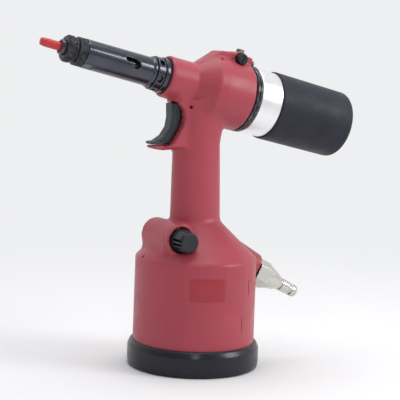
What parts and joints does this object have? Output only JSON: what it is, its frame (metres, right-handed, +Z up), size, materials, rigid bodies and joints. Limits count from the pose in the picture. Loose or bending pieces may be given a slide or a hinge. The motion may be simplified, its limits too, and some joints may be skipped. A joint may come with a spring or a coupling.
{
  "type": "pneumatic rivet gun",
  "caption": "Hand-held air-hydraulic rivet nut gun with a cup base, oval grip, tilted head, threaded mandrel nose, geared vane motor, trigger and reversing button.",
  "frame": {"origin": "centre of the rubber foot's underside, on the air cylinder's axis", "axes": "+Z up along the handle, -X towards the nose, which is tilted 13 degrees up; the side with the reversing button is -Y"},
  "size_m": [0.282, 0.11, 0.2705],
  "materials": {
    "red_body": "satin red enamel over cast aluminium",
    "dark_cast": "hard anodised",
    "foot_rubber": "satin black",
    "boot_rubber": "matt black",
    "seal_rubber": "matt black",
    "bright_steel": "ground",
    "grey_steel": "phosphated",
    "spring_steel": "drawn wire",
    "black_steel": "black oxide, polished",
    "hanger_steel": "black and bright wire",
    "brass": "turned",
    "silver_barrel": "bright turned",
    "aluminium": "turned",
    "nickel": "nickel plated",
    "black_plastic": "moulded",
    "knob_plastic": "moulded black",
    "trigger_plastic": "moulded dark grey",
    "vane_composite": "phenolic laminate",
    "red_cap": "soft red vinyl"
  },
  "bodies": {
    "tool_body": {"main_body": "red_body", "base_cap": "dark_cast", "rubber_foot": "foot_rubber", "oil_cylinder": "bright_steel", "ram_gland": "brass", "nose_adaptor": "black_steel", "adaptor_seal": "seal_rubber", "lock_ring": "black_steel", "nose_housing": "black_steel", "anvil": "black_steel", "anvil_lock_nut": "black_steel", "rear_gland": "grey_steel", "motor_barrel": "silver_barrel", "ring_gear": "grey_steel", "carrier_bearing": "bright_steel", "motor_front_plate": "dark_cast", "motor_cylinder": "grey_steel", "motor_rear_plate": "dark_cast", "front_rotor_bearing": "bright_steel", "rear_rotor_bearing": "bright_steel", "rear_cap": "dark_cast", "rear_boot": "boot_rubber", "bleed_screw": "grey_steel", "filler_plug": "black_plastic", "trigger_pin": "grey_steel", "valve_sleeve": "brass", "valve_guide": "black_plastic", "inlet_fitting": "nickel", "inlet_seal": "seal_rubber", "draw_return_spring": "spring_steel", "ram_return_spring": "spring_steel", "trigger_spring": "spring_steel", "valve_spring": "spring_steel"},
    "trigger": {"trigger": "trigger_plastic", "trigger_stem": "brass"},
    "air_piston": {"air_piston": "aluminium", "air_piston_seal": "seal_rubber", "ram_rod": "bright_steel", "piston_nut": "grey_steel"},
    "draw_piston": {"draw_piston": "bright_steel", "draw_piston_seal": "seal_rubber", "chuck_retainer": "grey_steel"},
    "chuck": {"chuck": "grey_steel", "mandrel": "bright_steel"},
    "cap": {"mandrel_cap": "red_cap"},
    "carrier": {"planet_carrier": "grey_steel", "drive_shaft": "bright_steel"},
    "planet_1": {"planet_gear_1": "grey_steel"},
    "planet_2": {"planet_gear_2": "grey_steel"},
    "planet_3": {"planet_gear_3": "grey_steel"},
    "rotor": {"rotor": "grey_steel", "sun_pinion": "grey_steel", "vane_1": "vane_composite", "vane_2": "vane_composite", "vane_3": "vane_composite", "vane_4": "vane_composite"},
    "hanger": {"hanger_ring": "hanger_steel"},
    "reverse_valve": {"valve_knob": "knob_plastic", "valve_spool": "bright_steel"},
    "inlet_nipple": {"inlet_nipple": "nickel"}
  },
  "joints": [
    {"name": "trigger_pull", "type": "slide", "parent": "tool_body", "child": "trigger", "axis": [1, 0, 0], "range_m": [0, 0.005], "stiffness_N_per_m": 600, "springref_m": -0.003, "deforming": ["trigger_spring"]},
    {"name": "reverse_button", "type": "slide", "parent": "tool_body", "child": "reverse_valve", "axis": [0, 1, 0], "range_m": [0, 0.005], "stiffness_N_per_m": 600, "springref_m": -0.003, "deforming": ["valve_spring"]},
    {"name": "air_piston_stroke", "type": "slide", "parent": "tool_body", "child": "air_piston", "axis": [0, 0, 1], "range_m": [0, 0.032], "stiffness_N_per_m": 600, "springref_m": -0.01, "deforming": ["ram_return_spring"]},
    {"name": "draw_stroke", "type": "slide", "parent": "tool_body", "child": "draw_piston", "axis": [0.9744, 0, -0.225], "range_m": [0, 0.007], "deforming": ["draw_return_spring"]},
    {"name": "motor_spin", "type": "hinge", "parent": "tool_body", "child": "rotor", "pos_m": [0.08477, 0, 0.21223], "axis": [-0.9744, 0, 0.225], "continuous": true},
    {"name": "carrier_spin", "type": "hinge", "parent": "tool_body", "child": "carrier", "pos_m": [0.04385, 0, 0.22168], "axis": [-0.9744, 0, 0.225], "continuous": true},
    {"name": "planet_spin_1", "type": "hinge", "parent": "carrier", "child": "planet_1", "pos_m": [0.05565, 0, 0.23281], "axis": [-0.9744, 0, 0.225], "continuous": true},
    {"name": "planet_spin_2", "type": "hinge", "parent": "carrier", "child": "planet_2", "pos_m": [0.0511, 0.01169, 0.21308], "axis": [-0.9744, 0, 0.225], "continuous": true},
    {"name": "planet_spin_3", "type": "hinge", "parent": "carrier", "child": "planet_3", "pos_m": [0.0511, -0.01169, 0.21308], "axis": [-0.9744, 0, 0.225], "continuous": true},
    {"name": "mandrel_spin", "type": "hinge", "parent": "draw_piston", "child": "chuck", "pos_m": [-0.05846, 0, 0.2453], "axis": [-0.9744, 0, 0.225], "continuous": true},
    {"name": "cap_pull", "type": "slide", "parent": "tool_body", "child": "cap", "axis": [-0.9744, 0, 0.225], "range_m": [0, 0.03]},
    {"name": "hanger_swivel", "type": "hinge", "parent": "tool_body", "child": "hanger", "pos_m": [0.03819, 0, 0.22298], "axis": [-0.9744, 0, 0.225], "continuous": true},
    {"name": "inlet_swivel", "type": "hinge", "parent": "tool_body", "child": "inlet_nipple", "pos_m": [0.08453, 0, 0.06258], "axis": [0.891, 0, -0.454], "continuous": true}
  ],
  "couplings": [
    {"joint": "draw_stroke", "follows": "air_piston_stroke", "ratio": 0.21875},
    {"joint": "carrier_spin", "follows": "motor_spin", "ratio": 0.22222},
    {"joint": "mandrel_spin", "follows": "motor_spin", "ratio": 0.22222},
    {"joint": "planet_spin_1", "follows": "motor_spin", "ratio": -0.62222},
    {"joint": "planet_spin_2", "follows": "motor_spin", "ratio": -0.62222},
    {"joint": "planet_spin_3", "follows": "motor_spin", "ratio": -0.62222}
  ]
}
